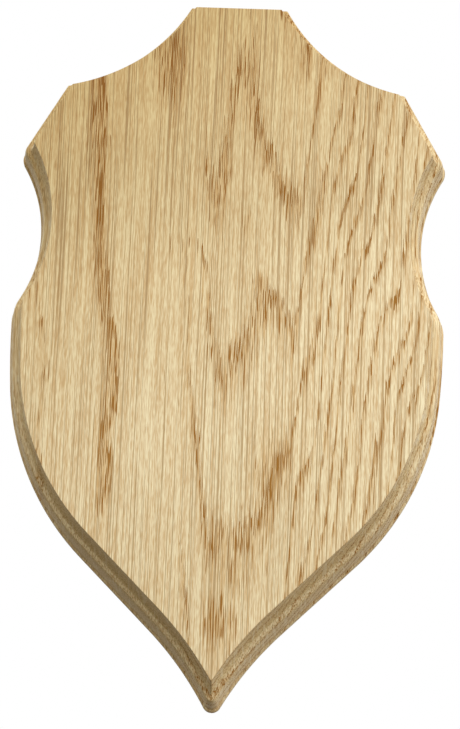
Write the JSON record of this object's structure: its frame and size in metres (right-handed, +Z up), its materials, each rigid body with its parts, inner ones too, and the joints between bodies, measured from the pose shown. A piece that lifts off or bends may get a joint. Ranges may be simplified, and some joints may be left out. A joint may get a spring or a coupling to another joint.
{
  "type": "antler trophy plaque",
  "caption": "Shield-shaped oak wall board with a stepped ogee moulding round its edge and a keyhole slot in its back, to which a small pair of antlers is screwed.",
  "frame": {"origin": "on the flat back that lies against the wall, at the middle of the board's height and width", "axes": "+Z up towards the shield's straight top edge, +Y into the wall, +X to the right seen from the front"},
  "size_m": [0.1492, 0.022, 0.25],
  "materials": {
    "oak": "flat-sawn oak, sanded smooth, with a thin matt clear finish"
  },
  "bodies": {
    "root": {"oak_shield_board": "oak"}
  },
  "joints": []
}
